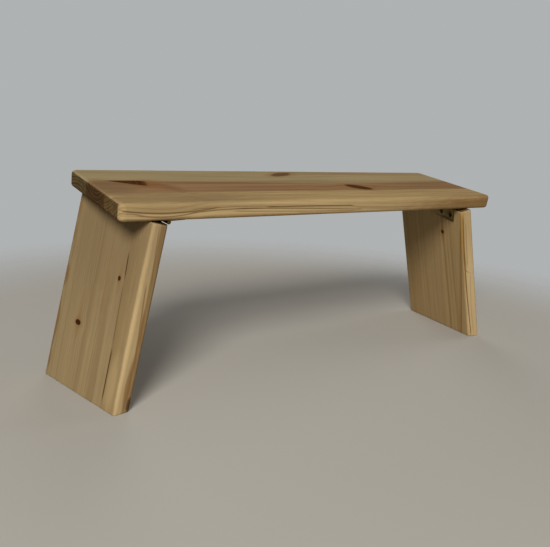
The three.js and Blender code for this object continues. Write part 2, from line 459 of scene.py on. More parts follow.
markForm = {  # noises as in grain
    "lineWave": (24, 900, 0),
    "ragged": ((60, 260, 260), 3),
    "raggedReach": 1.6,
    "endFacing": (0.70, 0.86),  # how far a face looks along the board
    "edgeFacing": (0.08, 0.30),  # and how far across it
    "pores": ((300, 2600, 2600), 2, 0.7),
}


# A dark line along the grain, such as a pitch streak, a strong ring or a glue joint

def lineMark(along, across, start, end, fade, place, slope, curve, halfWidth, wobble):
    gone = along - start
    middle = (gone * curve + slope) * gone + place
    wave = combine(along.tree, along, place, 0).noiseAt(markForm["lineWave"]).swing(2)
    away = abs(across - (middle + wave * wobble))
    line = away.ramp(0, halfWidth * 2, 1, 0)
    return [line * along.ramp(start, start + fade) * along.ramp(end - fade, end, 1, 0)]


# A soft-edged oval of another colour, such as a brown patch or a reddish tail; the same oval also paints shade
# where the seat shades a leg

def stainAndShadeMark(position, centre, halfSize, turn, soft):
    away = (position - centre).turned(turn * -1)
    ragged = position.noiseAt(*markForm["ragged"]).swing(markForm["raggedReach"])
    distance = (away / halfSize).calc("LENGTH") + ragged * soft
    return [distance.ramp((soft - 1) * -1, soft + 1, 1, 0)]


# How much a face shows end grain, and the pores in it

def endMarks(position, facing):
    x, y, _ = facing.parts()
    end = abs(x).ramp(*markForm["endFacing"]) * abs(y).ramp(*markForm["edgeFacing"], 1, 0)
    return end, position.noiseAt(*markForm["pores"])


zero = (0, 0, 0)
ringGroup = makeGroup("growthRings", {
    "Position": zero, "Pith": zero, "Seed": zero, "Ring Width": 0.003, "Wander": 0.002,
    "Grain Turn": 0,
}, ("Late", "Fibre", "Streak", "Height"), growthRings)
knotGroup = makeGroup("knot", {
    "Position": zero, "Centre": zero, "Turn": 0, "Half Length": 0.004, "Half Width": 0.003,
    "Taper": 0, "Squareness": 2, "Lean": zero, "Push": 1,
}, ("Core", "Halo", "Streak", "Shift", "Rings"), knotMarks)
lineGroup = makeGroup("darkLine", {
    "Along": 0, "Across": 0, "From": -1, "To": 1, "Fade": 0.005, "Start": 0, "Slope": 0,
    "Curve": 0, "Half Width": 0.0004, "Wobble": 0,
}, ["Mask"], lineMark)
# the stain group draws both real stains and patches of painted shade
stainAndShadeGroup = makeGroup("stain", {
    "Position": zero, "Centre": zero, "Half Size": (0.01, 0.005, 0.02), "Turn": 0, "Softness": 0.4,
}, ["Mask"], stainAndShadeMark)
endGroup = makeGroup("endGrain", {"Position": zero, "Facing": (0, 0, 1)}, ("End", "Pores"), endMarks)

wood = {
    "knotCore": (0.045, 0.017, 0.006),
    "knotRing": (0.095, 0.040, 0.014),
    "halo": (0.255, 0.122, 0.042),
    "red": (0.185, 0.078, 0.031),
    "brown": (0.225, 0.122, 0.046),
    # grey is also the colour of the painted shade under the seat on the left leg's outer face
    "grey": (0.175, 0.118, 0.062),
    "cream": (0.55, 0.405, 0.215),
    "pitch": (0.060, 0.028, 0.010),
    "ring": (0.130, 0.068, 0.022),
    "gold": (0.300, 0.170, 0.022),
    "glue": (0.17, 0.10, 0.045),
    "endTint": (0.31, 0.275, 0.24),
    "streakRange": (0.32, 0.68),
    "fibreRange": (0.3, 0.7),
    "fibreTone": (0.90, 1.09),
    "poreRange": (0.35, 0.65),
    "poreTone": (0.86, 1.1),
    "endRingRange": (0.1, 0.7),
    "endRingTone": (1.16, 0.7),
    "heartRagged": 7,
    "edgeDepth": 6,  # how far the lines of the front edge reach into the board
    "roughness": 0.52,
    "endRoughness": 0.72,
    "knotRoughness": 0.4,
    "fibreRoughness": 0.16,
    "lateSmoothness": 0.06,
    "specular": 0,
    "knotSink": 0.5,
    "poreRelief": 0.8,
    "reliefStrength": 0.8,
    "reliefDepth": 0.12,
}


def inMetres(values):
    return tuple(v * mm for v in values)


def arcThrough(points):  # start, slope and curve of the arc through three (along, across) places
    (x0, y0), (x1, y1), (x2, y2) = points
    slope = (y1 - y0) / (x1 - x0)
    curve = ((y2 - y1) / (x2 - x1) - slope) / (x2 - x0)
    return y0 * mm, slope - curve * (x1 - x0), curve / mm


def boardSpot(tree, place):  # object coordinates and normal, turned into the board's own
    given = wiresOf(tree, "TexCoord")
    turned = []
    for output, location in (("Object", place.translation), ("Normal", zero)):
        values = {"Vector": given[output], "Location": location, "Rotation": place.to_euler()}
        turned.append(wireFrom(tree, "Mapping", values, vector_type="TEXTURE"))
    return turned


def lineMask(tree, spot, line):
    x, y, z = spot.parts()
    start, slope, curve = arcThrough(line["through"])
    mask = useGroup(tree, lineGroup, {
        "Along": x, "Across": z if line["onEdge"] else y,
        "From": line["through"][0][0] * mm, "To": line["through"][-1][0] * mm, "Fade": line["fade"] * mm,
        "Start": start, "Slope": slope, "Curve": curve,
        "Half Width": line["halfWidth"] * mm, "Wobble": line["wobble"] * mm,
    })["Mask"]
    if line["onEdge"]:
        front = -boardWidth / 2
        mask = mask * y.ramp(front, front + wood["edgeDepth"] * mm, 1, 0)
    return mask


def heartMask(tree, spot, streak, heart):  # heartwood lies in front of its edge, or behind it
    x, y, _ = spot.parts()
    start, slope, curve = arcThrough(heart["edge"])
    gone = x - heart["edge"][0][0] * mm
    edge = gone * (gone * curve + slope) + start
    past = y - edge + streak.swing(wood["heartRagged"] * mm)
    ends = (0, 1) if heart["behind"] else (1, 0)
    return past.ramp(-heart["soft"] * mm, heart["soft"] * mm, *ends)


def stainAndShadeCoats(tree, spot, stainsAndShade):  # as (mask, share, colour)
    coats = []
    # each entry is a stain or a patch of painted shade
    for stain in stainsAndShade:
        mask = useGroup(tree, stainAndShadeGroup, {
            "Position": spot, "Centre": inMetres(stain["at"]), "Half Size": inMetres(stain["size"]),
            "Turn": radians(stain["turn"]), "Softness": stain["soft"],
        })["Mask"]
        coats.append((mask, stain["share"], stain["colour"]))
    return coats


def knotCoats(tree, spot, knots):  # with their cores, and how far they push the rings aside
    coats, cores = [], []
    shift = 0.0
    for knot in knots:
        length, width = inMetres(knot["size"])
        made = useGroup(tree, knotGroup, {
            "Position": spot, "Centre": inMetres((*knot["at"], knot["face"])),
            "Turn": radians(knot["turn"]), "Half Length": length, "Half Width": width,
            "Taper": knot["taper"], "Squareness": knot["squareness"],
            "Lean": knot["lean"], "Push": knot["push"],
        })
        shift = made["Shift"] + shift
        coats += [(made["Streak"], knot["streak"], "halo"), (made["Halo"], knot["halo"], "halo")]
        cores.append((made["Core"], made["Rings"] * knot["rings"], knot["dark"]))
    return coats, cores, shift


def ringsOf(tree, spot, shift, look):
    lift = 0.0
    for start, end, rise in look.get("bends", ()):
        lift = spot.parts()[0].ramp(start * mm, end * mm, 0, -rise * mm) + lift
    return useGroup(tree, ringGroup, {
        "Position": spot + combine(tree, 0, shift, lift),
        "Pith": inMetres((0, *look["pith"])), "Seed": look["seed"],
        "Ring Width": look["ringWidth"] * mm, "Wander": look["wander"] * mm,
        "Grain Turn": radians(look.get("grainTurn", 0)),
    })


# clearWood also leaves out the painted shade, which pineMaterial lays on with the stains
def clearWood(tree, spot, rings, look):  # colour without knots, stains and lines
    colour = mixColour(tree, rings["Late"] * look["contrast"], look["early"], look["late"])
    if "heart" in look:
        heart = look["heart"]
        mask = heartMask(tree, spot, rings["Streak"], heart) * heart["share"]
        colour = mixColour(tree, mask, colour, heart["tint"], "MULTIPLY")
    darkest, palest = 1 - look["streaks"], 1 + look["streaks"] * 0.6
    streaky = rings["Streak"].ramp(*wood["streakRange"], darkest, palest)
    fibrous = rings["Fibre"].ramp(*wood["fibreRange"], *wood["fibreTone"])
    return mixColour(tree, 1, colour, streaky * fibrous, "MULTIPLY")


def pineMaterial(name, place, look, features):
    material, tree, shader, _ = newMaterial(name)
    surface = shader.inputs
    spot, facing = boardSpot(tree, place)
    knotted, cores, shift = knotCoats(tree, spot, features["knots"])
    rings = ringsOf(tree, spot, shift, look)
    end = useGroup(tree, endGroup, {"Position": spot, "Facing": facing})

    colour = clearWood(tree, spot, rings, look)
    # stains and painted shade, then the knots' streaks and halos
    for mask, share, tone in stainAndShadeCoats(tree, spot, features["stainsAndShade"]) + knotted:
        colour = mixColour(tree, mask * share, colour, wood[tone])
    coreMask = 0.0
    for mask, ringPart, share in cores:
        inside = mixColour(tree, ringPart, wood["knotCore"], wood["knotRing"])
        covered = mask * share
        colour = mixColour(tree, covered, colour, inside)
        coreMask = covered.calc("MAXIMUM", coreMask)
    for line in features["lines"]:
        colour = mixColour(tree, lineMask(tree, spot, line) * line["share"], colour, wood[line["colour"]])

    pores = end["Pores"].ramp(*wood["poreRange"], *wood["poreTone"])
    ringed = rings["Late"].ramp(*wood["endRingRange"], *wood["endRingTone"])
    endColour = mixColour(tree, 1, colour, wood["endTint"], "MULTIPLY")
    endColour = mixColour(tree, 1, endColour, pores * ringed, "MULTIPLY")
    feed(tree, surface["Base Color"], mixColour(tree, end["End"], colour, endColour))

    rough = rings["Fibre"].swing(wood["fibreRoughness"]) + wood["roughness"]
    rough = rough - rings["Late"] * wood["lateSmoothness"]
    rough = end["End"].ramp(0, 1, rough, wood["endRoughness"])
    relief = rings["Height"] + end["End"] * end["Pores"] * wood["poreRelief"]
    if cores:
        rough = coreMask.ramp(0, 1, rough, wood["knotRoughness"])
        relief = relief - coreMask * wood["knotSink"]
    feed(tree, surface["Roughness"], rough)
    surface["Specular IOR Level"].default_value = wood["specular"]
    addRelief(tree, surface, relief, wood["reliefStrength"], wood["reliefDepth"])
    return material


# Features of the wood, and patches of painted shade, in millimetres from each board's own origin

def knotAt(at, size, **own):
    usual = {
        "turn": 0, "face": 0, "taper": 0, "squareness": 2, "lean": zero, "push": 1,
        "streak": 0.3, "halo": 0.5, "rings": 1, "dark": 1,
    }
    return {"at": at, "size": size, **usual, **own}


def stainAndShadeAt(at, size, colour, share, soft, turn=0):
    return {"at": at, "size": size, "colour": colour, "share": share, "soft": soft, "turn": turn}


def lineAlong(start, middle, end, halfWidth, share, colour="brown", fade=12, wobble=0, onEdge=False):
    return {
        "through": (start, middle, end), "halfWidth": halfWidth, "share": share, "colour": colour,
        "fade": fade, "wobble": wobble, "onEdge": onEdge,
    }


def edgeLine(*values, **own):  # on the front edge, where the second number is the height
    return lineAlong(*values, **own, onEdge=True)


# Seat: three staves from three different boards, from the middle of its underside

seatWood = {
    "front": {
        "pith": (-8, 70), "seed": (1.3, 4.1, 2.2), "ringWidth": 3.3, "wander": 0.75,
        "early": (0.424, 0.301, 0.144), "late": (0.209, 0.123, 0.050), "contrast": 0.5, "streaks": 0.14,
        "bends": [(-280, -228, -4.0), (-228, -165, 6.5), (-140, 95, -7.0), (130, 260, 3.0)],
    },
    "middle": {
        "pith": (-4, 40), "seed": (7.7, 0.4, 5.2), "ringWidth": 3.4, "wander": 1.1,
        "early": (0.347, 0.262, 0.143), "late": (0.248, 0.167, 0.084), "contrast": 0.65, "streaks": 0.18,
        "heart": {
            "edge": [(-190, 18), (-10, 7), (240, 10.5)], "soft": 3, "behind": False,
            "tint": (0.88, 0.71, 0.66), "share": 1.0,
        },
    },
    "back": {
        "pith": (38, -60), "seed": (3.1, 8.8, 6.4), "ringWidth": 3.8, "wander": 1.3,
        "early": (0.354, 0.283, 0.154), "late": (0.261, 0.188, 0.093), "contrast": 0.6, "streaks": 0.13,
        "heart": {
            "edge": [(30, 62), (120, 48), (280, 47)], "soft": 5, "behind": True,
            "tint": (0.95, 0.84, 0.82), "share": 0.8,
        },
    },
}
seatFeatures = {
    "knots": [
        knotAt(
            (-234.8, 12.8), (21.5, 6.6), turn=-17, taper=0.95, squareness=6, face=18,
            halo=0.35, streak=0.12, push=0.5,
        ),
        knotAt(
            (70, -16), (19, 11), turn=-36, face=18, lean=(0.9, 0.5, 0),
            dark=0.92, halo=0.35, streak=0.2, push=0.9,
        ),
        knotAt(
            (-8, 50), (21, 7.5), turn=22, face=18, lean=(-0.7, 0, 0),
            dark=0.66, halo=0.4, streak=0.15, push=0.9,
        ),
    ],
    "lines": [
        edgeLine((-282, 10.4), (-226, 5.6), (-150, 11.8), 0.9, 0.6, "cream"),
        edgeLine((-282, 5.2), (-250, 3.6), (-226, 1), 0.9, 0.5, "cream"),
        edgeLine((-210, 4.6), (-165, 7), (-60, 3.4), 1.3, 0.5, "cream"),
        edgeLine((-140, 9.6), (-60, 7.2), (30, 6.4), 0.6, 0.5, "cream"),
        edgeLine((-284, 8.4), (-268, 8.6), (-246, 5.6), 0.5, 0.7, "ring"),
        edgeLine((-282, 12.8), (-226, 8.2), (-165, 13.4), 0.6, 0.85, "ring"),
        edgeLine((-264, 7.6), (-232, 4.6), (-190, 8.9), 0.55, 0.75, "ring"),
        edgeLine((-206, 7.2), (-168, 9.9), (-112, 10.1), 0.55, 0.75, "ring"),
        edgeLine((-205, 10.8), (-160, 12.6), (-90, 11.6), 0.45, 0.6, "ring"),
        edgeLine((-115, 11.6), (-50, 11.1), (20, 10.4), 0.6, 0.9, "ring"),
        edgeLine((-150, 10.9), (-45, 8.2), (35, 5), 0.5, 0.75, "ring"),
        edgeLine((-155, 8.2), (-80, 5.9), (25, 3.8), 0.45, 0.6, "ring"),
        edgeLine((0, 10.3), (55, 7.7), (130, 6.8), 0.45, 0.4, "ring"),
        edgeLine((15, 7.2), (60, 5.6), (120, 4), 0.45, 0.35, "ring"),
    ],
    "stainsAndShade": [
        stainAndShadeAt((-199, -8, 18), (24, 9, 9), "red", 0.5, 0.8, turn=-55),
        stainAndShadeAt((-224, 1, 18), (16, 12, 9), "red", 0.55, 0.7, turn=-25),
        stainAndShadeAt((-262, -6, 16), (30, 26, 14), "grey", 0.65, 0.7),
        stainAndShadeAt((-210, -50, 18), (90, 18, 6), "grey", 0.5, 0.6),
        stainAndShadeAt((210, 38, 18), (140, 22, 6), "cream", 0.22, 0.5),
        stainAndShadeAt((-40, -71, 9), (150, 6, 10), "cream", 0.35, 0.5),
        stainAndShadeAt((212, -70, 10), (16, 7, 3), "brown", 0.4, 0.6),
        stainAndShadeAt((264, -68, 12), (11, 8, 6), "halo", 0.35, 0.4),
        stainAndShadeAt((285, -70, 2), (150, 12, 15), "brown", 0.75, 0.5),
        # painted shade: a brown band along the lower front rounding, which turns down away from the lamps
        stainAndShadeAt((-130, -71, 0), (170, 5, 4), "brown", 0.45, 0.4),
    ],
}

# Legs: down from the top end, back from the middle, and in from the face that shows

leftWood = {
    "front": {
        "pith": (-62, 58), "seed": (2.6, 5.5, 0.7), "ringWidth": 5.6, "wander": 1.1, "grainTurn": 2.0,
        "early": (0.310, 0.224, 0.110), "late": (0.225, 0.146, 0.065), "contrast": 0.6, "streaks": 0.05,
    },
    "middle": {
        "pith": (-16, -150), "seed": (9.1, 1.5, 3.3), "ringWidth": 2.6, "wander": 0.8, "grainTurn": 1.8,
        "early": (0.307, 0.225, 0.116), "late": (0.217, 0.146, 0.068), "contrast": 0.55, "streaks": 0.07,
    },
    "back": {
        "pith": (150, -90), "seed": (4.4, 2.9, 8.1), "ringWidth": 3.2, "wander": 0.9, "grainTurn": 1.8,
        "early": (0.303, 0.223, 0.116), "late": (0.222, 0.150, 0.071), "contrast": 0.5, "streaks": 0.07,
    },
}
leftFeatures = {
    "knots": [
        knotAt((71.5, -33), (2.7, 2.5), lean=(0.3, 0, 0), halo=0.4, streak=0.4, rings=0.1),
        knotAt((131, 24), (3.1, 5.4), lean=(-0.3, 0, 0), halo=0.35, streak=0.4, rings=0.05),
    ],
    "lines": [
        lineAlong((10, -38.6), (100, -42.9), (205, -46.2), 0.3, 0.5, wobble=0.6),
        lineAlong((40, -39.7), (57, -40.9), (74, -42.2), 0.75, 1, "pitch"),
        lineAlong((76, -41.8), (100, -42.9), (140, -44.8), 0.4, 0.7, "pitch"),
        lineAlong((136, -45), (163, -45.6), (197, -46.1), 0.8, 1, "pitch"),
        lineAlong((10, -8.6), (100, -11.6), (200, -13.4), 0.6, 0.4),
        edgeLine((8, 7), (38, 9), (74, 12.4), 0.5, 0.8),
        edgeLine((66, 5.8), (112, 9), (160, 13.2), 0.8, 0.8),
        edgeLine((92, 10.6), (112, 11.4), (136, 13.6), 1.3, 0.7),
        edgeLine((4, 12.6), (30, 12.8), (60, 14.8), 0.6, 0.6),
    ],
    "stainsAndShade": [
        stainAndShadeAt((95, -66, 16), (130, 10, 8), "brown", 0.42, 0.2),
        stainAndShadeAt((100, -70, 4.2), (140, 6, 5.6), "cream", 0.6, 0.2),
        stainAndShadeAt((172, -70, 9.5), (24, 6, 3), "brown", 0.75, 0.4),
        stainAndShadeAt((190, -70, 14.6), (7, 6, 2.2), "pitch", 0.8, 0.4),
        stainAndShadeAt((11, 68, 3), (12, 7, 9), "brown", 0.5, 0.4),
        stainAndShadeAt((39, 68, 3), (9, 6, 9), "brown", 0.5, 0.4),
        stainAndShadeAt((88, 68, 2), (13, 7, 9), "ring", 0.45, 0.2),
        stainAndShadeAt((85, 69, 2), (12, 6, 8), "brown", 0.8, 0.35),
        stainAndShadeAt((104, 70, 1), (3.5, 2.5, 3), "pitch", 0.8, 0.3),
        stainAndShadeAt((142, 68.5, 2), (30, 6.5, 9), "ring", 0.5, 0.2),
        stainAndShadeAt((140, 69, 2), (27, 5.5, 8), "brown", 0.8, 0.35),
        stainAndShadeAt((181, 68, 2), (13, 5, 7), "ring", 0.6, 0.7),
        stainAndShadeAt((172, -56, 0), (26, 8, 9), "cream", 0.3, 0.5),
        # painted shade: a grey-brown darkening over the upper part of the outer face, where the seat shades it
        stainAndShadeAt((20, 5, 0), (80, 80, 30), "grey", 0.4, 0.6),
    ],
}
rightWood = {
    "front": {
        "pith": (-66, -70), "seed": (5.8, 3.7, 1.1), "ringWidth": 4.6, "wander": 1.1, "grainTurn": 1.0,
        "early": (0.383, 0.267, 0.125), "late": (0.258, 0.159, 0.065), "contrast": 0.6, "streaks": 0.06,
    },
    "middle": {
        "pith": (-40, 170), "seed": (6.3, 7.2, 4.9), "ringWidth": 3.1, "wander": 0.9, "grainTurn": 0.5,
        "early": (0.370, 0.258, 0.125), "late": (0.275, 0.176, 0.079), "contrast": 0.45, "streaks": 0.07,
    },
    "back": {
        "pith": (120, 60), "seed": (8.5, 6.6, 7.4), "ringWidth": 3.3, "wander": 0.9, "grainTurn": 0.5,
        "early": (0.357, 0.245, 0.116), "late": (0.258, 0.163, 0.072), "contrast": 0.5, "streaks": 0.07,
    },
}
rightFeatures = {
    "knots": [knotAt((45, -27), (2.9, 2.7), lean=(0.3, 0, 0), halo=0.55, streak=0.8, rings=0.1)],
    "lines": [
        lineAlong((8, -67.5), (100, -62), (205, -54.6), 0.8, 0.85, wobble=0.5),
        lineAlong((30, -65.8), (100, -60), (205, -52.4), 1.6, 0.5, "halo"),
        edgeLine((6, 1.6), (50, 0.6), (96, 2.6), 1.2, 0.8, "gold"),
        edgeLine((12, 2.8), (90, 1.4), (200, 4.6), 0.65, 0.95, "ring"),
        edgeLine((20, 6.6), (60, 5.6), (95, 5.4), 0.5, 0.8),
        edgeLine((93, 3), (99, 6.6), (101, 12), 0.7, 0.95, fade=2),
        edgeLine((98, 9.5), (130, 8), (200, 9.5), 0.5, 0.5),
    ],
    "stainsAndShade": [
        stainAndShadeAt((70, -71, 10), (80, 7, 8), "cream", 0.45, 0.3),
        stainAndShadeAt((150, -71, 9), (90, 7, 9), "cream", 0.8, 0.4),
    ],
}
glue = {"halfWidth": 0.16, "seatShare": 0.5, "legShare": 0.22, "reach": 400}
margins = {"turned": 3, "straight": 1.7, "line": 3}  # a line's in millimetres, else in sizes


def glueLines(board):
    share = glue["seatShare" if board == "seat" else "legShare"]
    made = []
    for joint in bench["glueJoints"][board]:
        y = (joint - 0.5) * bench["boardWidth"]
        ends = [(x, y) for x in (-glue["reach"], 0, glue["reach"])]
        made.append(lineAlong(*ends, glue["halfWidth"], share, "glue"))
    return made


def featuresOf(board, features, low, high):  # only what reaches the stave between low and high
    half = bench["boardWidth"] / 2
    low = -half if low is None else low / mm
    high = half if high is None else high / mm
    kept = {"knots": [], "stainsAndShade": [], "lines": []}
    for kind in ("knots", "stainsAndShade"):
        for feature in features[kind]:
            size = feature["size"]
            if kind == "knots" or feature["turn"]:
                reach = margins["turned"] * max(size[:2])
            else:
                reach = margins["straight"] * size[1]
            if low - reach < feature["at"][1] < high + reach:
                kept[kind].append(feature)
    for mark in [*features["lines"], *glueLines(board)]:
        across = [-half] if mark["onEdge"] else [y for _, y in mark["through"]]
        if min(across) <= high + margins["line"] and max(across) >= low - margins["line"]:
            kept["lines"].append(mark)
    return kept


def addBoard(board, body, stem, place, looks, features):
    whole = seatBoard() if board == "seat" else legBoard(board, place)
    joins = [(share - 0.5) * boardWidth for share in bench["glueJoints"][board]]
    for low, high, stave in zip([None] + joins, joins + [None], staveNames):
        name = f"{stem}{stave.capitalize()}"
        sawn = sawStave(whole, low, high)
        sawn.transform(place)
        mesh = smoothed(meshOf(f"{name}Stave", sawn), edges["sharpAngle"])
        kept = featuresOf(board, features, low, high)
        mesh.materials.append(pineMaterial(f"{name}Pine", place, looks[stave], kept))
        addPart(f"{name}Stave", mesh, Matrix(), body, f"{body}_{stave}_stave")
    whole.free()


addBoard("seat", "seat", "seat", seatPlace(), seatWood, seatFeatures)
print("seat board made")
addBoard("left", "left_leg", "leftLeg", legPlace("left"), leftWood, leftFeatures)
addBoard("right", "right_leg", "rightLeg", legPlace("right"), rightWood, rightFeatures)
print("leg boards made")


# Hinges: pressed leaves rolled round a pin

hinge = {
    "length": 50,
    "reach": 21,
    "thickness": 1.1,
    "corner": 2,
    "cornerSteps": 8,
    "barrel": 2.2,  # radius
    "knuckles": 5,
    "knuckleGap": 0.3,
    "notch": 0.4,
    "curl": 296,  # degrees that each knuckle is rolled through
    "curlSteps": 30,
    "edgeBevel": 0.14,
    "bevelSegments": 2,
    "bevelAngle": 50,
    "pinRadius": 0.9,
    "pinDome": 0.35,
    "domeTip": 0.05,  # radius of the flat in its middle
    "domeSteps": 4,
    "pinSides": 28,
    "sharpAngle": 40,
}
screw = {
    "endMargin": 6.5,
    "row": 12.3,
    "perLeaf": 3,
    "head": 3.3,  # radius, as the shank and core are
    "headEase": [(0.35, 0), (0.12, 0.03), (0, 0.12)],  # how far in and how far down
    "rim": 0.25,
    "rimEase": 0.1,
    "shank": 1.5,
    "neckEase": 0.15,
    "core": 1.05,
    "pitch": 1.3,
    "pitchSteps": 6,
    "threadSlope": 3.2,
    "sink": 0.1,
    "tip": 4,
    "tipShare": 0.08,  # of the thread's size, at the tip
    "point": 0.04,
    "cover": 3,  # wood beyond the tip
    "clearance": 0.15,
    "sides": 36,
    "sinkSides": 40,
    "recessOverrun": 0.3,
    "recessReach": 1.85,
    "recessWidth": 0.95,
    "recessDepth": 1.5,
    "recessTaper": (0.42, 0.64),  # of its reach and its width, at the bottom
    "firstTurn": 40,  # degrees that the recess is turned by
    "nextTurn": 137.5,
    "sharpAngle": 30,
}
leafFace = hinge["barrel"] - hinge["thickness"]


def screwSpots():
    spread = hinge["length"] - 2 * screw["endMargin"]
    steps = screw["perLeaf"] - 1
    return [Vector((screw["row"], spread * (i / steps - 0.5), 0)) for i in range(steps + 1)]


def spinRows(rows, sides):  # rows of (height, radius, or a function of the angle that gives it)
    rings = []
    for height, radius in rows:
        ring = []
        for i in range(sides):
            angle = 2 * pi * i / sides
            reach = radius(angle) if callable(radius) else radius
            ring.append(Vector((reach * cos(angle), reach * sin(angle), height)) * mm)
        rings.append(ring)
    return loftRings(rings)


def applied(target, tools, bevel=0):
    bpy.context.view_layer.update()
    for tool in tools:
        cut = target.modifiers.new("cut", "BOOLEAN")
        cut.operation = "DIFFERENCE"
        cut.solver = "EXACT"
        cut.object = tool
    if bevel:
        soften = target.modifiers.new("soften", "BEVEL")
        soften.width = bevel * mm
        soften.segments = hinge["bevelSegments"]
        soften.limit_method = "ANGLE"
        soften.angle_limit = radians(hinge["bevelAngle"])
    graph = bpy.context.evaluated_depsgraph_get()
    mesh = bpy.data.meshes.new_from_object(target.evaluated_get(graph))
    for loose in [target, *tools]:
        bpy.data.objects.remove(loose)
    return mesh


def leafMesh(name, ownsEnds):
    body = bmesh.new()
    half = hinge["length"] / 2
    pitch = hinge["length"] / hinge["knuckles"]
    notchX = hinge["barrel"] + hinge["notch"]
    rollRadius = hinge["barrel"] - hinge["thickness"] / 2
    rollLength = radians(hinge["curl"]) * rollRadius

    def vert(x, y):
        return body.verts.new((x * mm, y * mm, leafFace * mm))

    rim, tabs = [], []
    for i in range(hinge["knuckles"]):
        own = (i % 2 == 0) == ownsEnds
        gap = hinge["knuckleGap"] / 2 * (1 if own else -1)
        low = -half + pitch * i + (gap if i else 0)
        high = -half + pitch * (i + 1) - (gap if i < hinge["knuckles"] - 1 else 0)
        pair = [vert(0 if own else notchX, y) for y in (low, high)]
        rim += pair
        if own:
            tabs.append((low, high, *pair))
    corner, steps = hinge["corner"], hinge["cornerSteps"]
    for start, sign in ((pi / 2, 1), (0, -1)):
        for step in range(steps + 1):
            angle = start - pi / 2 * step / steps
            x = hinge["reach"] - corner + corner * cos(angle)
            rim.append(vert(x, sign * (half - corner) + corner * sin(angle)))
    body.faces.new(rim)
    for low, high, lowVert, highVert in tabs:
        for step in range(1, hinge["curlSteps"] + 1):
            x = -rollLength * step / hinge["curlSteps"]
            nextLow, nextHigh = vert(x, low), vert(x, high)
            body.faces.new((lowVert, highVert, nextHigh, nextLow))
            lowVert, highVert = nextLow, nextHigh
    bmesh.ops.recalc_face_normals(body, faces=body.faces)
    grown = bmesh.ops.extrude_face_region(body, geom=body.faces[:])
    risen = [v for v in grown["geom"] if isinstance(v, bmesh.types.BMVert)]
    bmesh.ops.translate(body, verts=risen, vec=(0, 0, hinge["thickness"] * mm))
    bmesh.ops.recalc_face_normals(body, faces=body.faces)
    flat = newObject(name, meshOf(name, body))

    head, shank = screw["head"] + screw["clearance"], screw["shank"]
    rim = leafFace + screw["sink"] + screw["rim"]
    rows = [(leafFace - hinge["thickness"], head), (rim, head)]
    rows += [(rim + head - shank, shank), (rim + 2 * head, shank)]
    sinks = []
    for spot in screwSpots():  # one countersunk hole for each screw
        sink = newObject("sink", meshOf("sink", spinRows(rows, screw["sinkSides"])))
        sink.location = spot * mm
        sinks.append(sink)
    mesh = applied(flat, sinks, hinge["edgeBevel"])
    for vertex in mesh.vertices:  # roll the tabs round the pin
        if vertex.co.x < 0:
            angle = -vertex.co.x / (rollRadius * mm)
            radius = vertex.co.z
            vertex.co.x = -radius * sin(angle)
            vertex.co.z = radius * cos(angle)
    mesh.name = name
    return smoothed(mesh, hinge["sharpAngle"])


def screwMesh():
    head, core, shank, pitch = (screw[k] for k in ("head", "core", "shank", "pitch"))
    face = leafFace + screw["sink"]
    rim = face + screw["rim"]
    neck = rim + head - shank
    end = bench["standoff"] + bench["boardThickness"] - screw["cover"]
    rows = [(face + down, head - inset) for inset, down in screw["headEase"]]
    rows += [(rim, head), (rim + screw["rimEase"], head - screw["rimEase"])]
    rows.append((neck, core + screw["neckEase"]))
    step = pitch / screw["pitchSteps"]
    for i in range(1, int((end - neck) / step)):
        height = neck + step * i
        size = min(1, max((end - height) / screw["tip"], screw["tipShare"]))

        def threaded(angle, height=height, size=size):
            turn = (height / pitch - angle / (2 * pi)) % 1
            ridge = max(0, 1 - abs(turn - 0.5) * screw["threadSlope"])
            return size * (core + (shank - core) * ridge)

        rows.append((height, threaded))
    rows.append((end, screw["point"]))
    whole = newObject("screw", meshOf("screw", spinRows(rows, screw["sides"])))
    reach, width = screw["recessReach"], screw["recessWidth"] / 2
    reachShare, widthShare = screw["recessTaper"]
    rings = []
    for depth, x, y in (
        (-screw["recessOverrun"], reach, width),
        (screw["recessDepth"], reach * reachShare, width * widthShare),
    ):
        corners = ((-x, -y), (x, -y), (x, y), (-x, y))
        rings.append([Vector((*corner, face + depth)) * mm for corner in corners])
    tools = []
    for turn in (0, pi / 2):
        tool = newObject("recess", meshOf("recess", loftRings(rings)))
        tool.rotation_euler.z = turn
        tools.append(tool)
    mesh = applied(whole, tools)
    mesh.name = "screw"
    return smoothed(mesh, screw["sharpAngle"])


def pinMesh():
    half, radius, dome = hinge["length"] / 2, hinge["pinRadius"], hinge["pinDome"]
    ends = []
    for step in range(hinge["domeSteps"] + 1):
        angle = pi / 2 * step / hinge["domeSteps"]
        ends.append((half - dome * (1 - cos(angle)), max(radius * sin(angle), hinge["domeTip"])))
    body = spinRows([(-h, r) for h, r in ends] + ends[::-1], hinge["pinSides"])
    bmesh.ops.rotate(body, verts=body.verts, matrix=Matrix.Rotation(pi / 2, 3, "X"))
    return smoothed(meshOf("pin", body), hinge["sharpAngle"])


metal = {
    "plate": {
        "main": (0.19, 0.12, 0.032), "tint": (0.12, 0.08, 0.024), "stain": (0.06, 0.042, 0.02),
        "roughness": 0.36, "cloudSize": 7,
    },
    "black": {
        "main": (0.024, 0.015, 0.009), "tint": (0.024, 0.015, 0.009), "stain": (0.10, 0.085, 0.07),
        "roughness": 0.36, "cloudSize": 2,
    },
    "cloudRange": (0.3, 0.7),
    "stainRange": (0.55, 0.75),
    "stainShare": 0.6,
    "stainRoughness": 0.18,
    "scratchRoughness": 0.2,
    "scratchScale": (9000, 300, 900),
    "scratchShare": 0.6,
    "reliefStrength": 0.6,
    "reliefDepth": 0.03,
}


